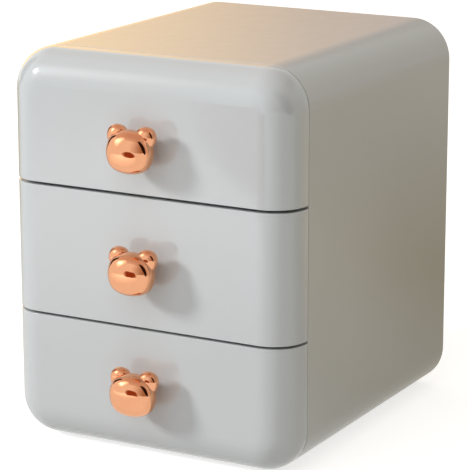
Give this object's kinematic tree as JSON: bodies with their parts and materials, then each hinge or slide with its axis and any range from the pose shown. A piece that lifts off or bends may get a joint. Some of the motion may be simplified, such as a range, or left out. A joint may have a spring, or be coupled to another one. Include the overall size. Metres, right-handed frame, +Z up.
{
  "type": "makeup drawer organizer",
  "caption": "Desktop makeup organizer: rounded casing with stacked pull-out drawers, pillow-shaped overlay fronts and bear-head knobs.",
  "frame": {"origin": "middle of the footprint, knobs included, on the surface the rubber feet stand on", "axes": "+Z up, -Y towards the viewer that faces the drawers, +X to that viewer's right"},
  "size_m": [0.18, 0.2274, 0.2265],
  "materials": {
    "casing": "satin-gloss moulded ABS",
    "front": "gloss moulded ABS",
    "inner_plastic": "fine-grained moulded ABS",
    "rose_gold": "polished rose-gold plating on zinc alloy",
    "screw_steel": "zinc-plated steel",
    "foot_rubber": "matte grey rubber"
  },
  "bodies": {
    "cabinet": {"casing_shell": "casing", "back_panel": "casing", "back_panel_screws": "screw_steel", "lower_shelf": "inner_plastic", "upper_shelf": "inner_plastic", "foot_front_left": "foot_rubber", "foot_front_right": "foot_rubber", "foot_rear_left": "foot_rubber", "foot_rear_right": "foot_rubber"},
    "bottom_drawer": {"bottom_drawer_tray": "inner_plastic", "bottom_drawer_front": "front", "bottom_bear_knob": "rose_gold", "bottom_knob_screw": "screw_steel"},
    "middle_drawer": {"middle_drawer_tray": "inner_plastic", "middle_drawer_front": "front", "middle_bear_knob": "rose_gold", "middle_knob_screw": "screw_steel"},
    "top_drawer": {"top_drawer_tray": "inner_plastic", "top_drawer_front": "front", "top_bear_knob": "rose_gold", "top_knob_screw": "screw_steel"}
  },
  "joints": [
    {"name": "bottom_drawer_slide", "type": "slide", "parent": "cabinet", "child": "bottom_drawer", "axis": [0, -1, 0], "range_m": [0, 0.14]},
    {"name": "middle_drawer_slide", "type": "slide", "parent": "cabinet", "child": "middle_drawer", "axis": [0, -1, 0], "range_m": [0, 0.14]},
    {"name": "top_drawer_slide", "type": "slide", "parent": "cabinet", "child": "top_drawer", "axis": [0, -1, 0], "range_m": [0, 0.14]}
  ]
}
